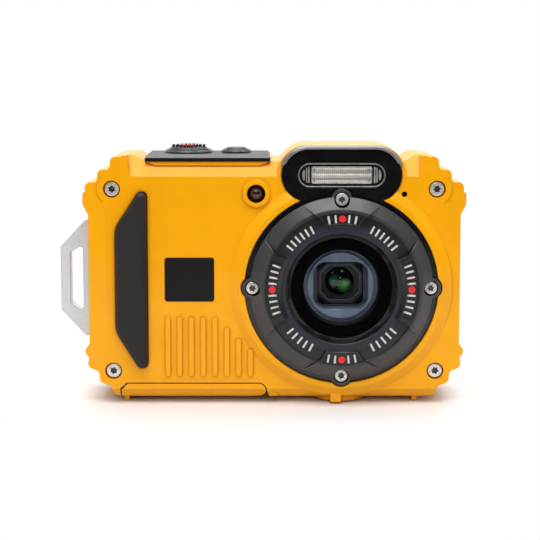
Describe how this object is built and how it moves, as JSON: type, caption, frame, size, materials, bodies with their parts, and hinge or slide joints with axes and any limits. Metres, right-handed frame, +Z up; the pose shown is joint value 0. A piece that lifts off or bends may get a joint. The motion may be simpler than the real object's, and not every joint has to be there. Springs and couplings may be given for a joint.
{
  "type": "waterproof digital camera",
  "caption": "Compact waterproof digital camera with a windowed lens ring, flash, grip pad, strap lug, working buttons and an opening battery door.",
  "frame": {"origin": "middle of the tripod socket's mouth, on the standing plane, under the lens axis at mid-depth", "axes": "+X to the right seen from the front, -Y where the lens looks, +Z up"},
  "size_m": [0.1114, 0.0267, 0.0709],
  "materials": {
    "yellow_shell": "satin moulded plastic",
    "black_gloss": "polished",
    "ring_metal": "satin dark grey paint",
    "grip_rubber": "fine matt grain",
    "seal_rubber": "smooth",
    "steel": "machined",
    "lug_metal": "satin cast",
    "window_glass": "coated and clear",
    "clear_plastic": "clear with fine ribs",
    "lens_glass": "green coating",
    "inner_black": "matt",
    "inner_grey": "moulded",
    "mirror_foil": "bright",
    "lamp_glass": "tinted brown",
    "board_green": "lacquered board",
    "contact_gold": "gold plated",
    "battery_wrap": "wrapped",
    "card_plastic": "moulded",
    "screen_glass": "polished black",
    "button_metal": "satin dark",
    "key_rubber": "soft matt",
    "capacitor_sleeve": "shrink sleeve"
  },
  "bodies": {
    "root": {"front_casing": "yellow_shell", "rear_casing": "yellow_shell", "casing_seal": "seal_rubber", "front_bezel": "black_gloss", "lens_ring": "ring_metal", "corner_screws": "steel", "lens_ring_screws": "steel", "strap_lug_screws": "steel", "lens_window": "window_glass", "window_seal": "seal_rubber", "window_mask": "inner_black", "flash_window": "clear_plastic", "flash_reflector": "mirror_foil", "flash_tube": "clear_plastic", "flash_capacitor": "capacitor_sleeve", "focus_lamp_window": "lamp_glass", "focus_led": "clear_plastic", "microphone": "steel", "grip_pad": "grip_rubber", "top_plate": "black_gloss", "shutter_collar": "ring_metal", "power_collar": "ring_metal", "top_button_seals": "seal_rubber", "switch_board": "board_green", "strap_lug": "lug_metal", "tripod_socket": "steel", "door_hinge_pin": "steel", "battery": "battery_wrap", "battery_holder": "inner_black", "memory_card": "card_plastic", "card_socket": "steel", "battery_contacts": "contact_gold", "lens_housing": "inner_grey", "front_lens": "lens_glass", "prism": "lens_glass", "guide_rods": "steel", "zoom_motor": "steel", "image_sensor": "inner_black", "sensor_board": "board_green", "main_board": "board_green", "usb_socket": "steel", "screen_window": "screen_glass", "screen_panel": "inner_black", "key_mat": "seal_rubber", "speaker": "steel"},
    "shutter": {"shutter_button": "button_metal"},
    "power": {"power_button": "button_metal"},
    "rocker": {"zoom_rocker": "key_rubber"},
    "record": {"record_button": "key_rubber"},
    "playback": {"playback_button": "key_rubber"},
    "menu": {"menu_button": "key_rubber"},
    "delete": {"delete_button": "key_rubber"},
    "direction_pad": {"nav_pad": "key_rubber"},
    "ok": {"ok_button": "key_rubber"},
    "door": {"battery_door": "yellow_shell", "door_seal": "seal_rubber"},
    "latch": {"door_latch": "inner_grey"},
    "zoom_group": {"zoom_carrier": "inner_black", "zoom_lens": "lens_glass"}
  },
  "joints": [
    {"name": "shutter_press", "type": "slide", "parent": "root", "child": "shutter", "axis": [0, 0, -1], "range_m": [0, 0.001], "stiffness_N_per_m": 600},
    {"name": "power_press", "type": "slide", "parent": "root", "child": "power", "axis": [0, 0, -1], "range_m": [0, 0.0004], "stiffness_N_per_m": 1000},
    {"name": "zoom_rock", "type": "hinge", "parent": "root", "child": "rocker", "pos_m": [-0.0504, 0.0119, 0.0564], "axis": [0, 0, 1], "range_deg": [-4, 4], "stiffness_Nm_per_rad": 0.03},
    {"name": "record_press", "type": "slide", "parent": "root", "child": "record", "axis": [0, -1, 0], "range_m": [0, 0.0004], "stiffness_N_per_m": 1000},
    {"name": "playback_press", "type": "slide", "parent": "root", "child": "playback", "axis": [0, -1, 0], "range_m": [0, 0.0004], "stiffness_N_per_m": 1000},
    {"name": "menu_press", "type": "slide", "parent": "root", "child": "menu", "axis": [0, -1, 0], "range_m": [0, 0.0004], "stiffness_N_per_m": 1000},
    {"name": "delete_press", "type": "slide", "parent": "root", "child": "delete", "axis": [0, -1, 0], "range_m": [0, 0.0004], "stiffness_N_per_m": 1000},
    {"name": "direction_press", "type": "slide", "parent": "root", "child": "direction_pad", "axis": [0, -1, 0], "range_m": [0, 0.0004], "stiffness_N_per_m": 1000},
    {"name": "ok_press", "type": "slide", "parent": "root", "child": "ok", "axis": [0, -1, 0], "range_m": [0, 0.0004], "stiffness_N_per_m": 1000},
    {"name": "door_hinge", "type": "hinge", "parent": "root", "child": "door", "pos_m": [-0.0224, 0, 0.0036], "axis": [0, -1, 0], "range_deg": [0, 92]},
    {"name": "latch_slide", "type": "slide", "parent": "door", "child": "latch", "axis": [1, 0, 0], "range_m": [0, 0.0025]},
    {"name": "zoom_slide", "type": "slide", "parent": "root", "child": "zoom_group", "axis": [1, 0, 0], "range_m": [0, 0.008]}
  ]
}
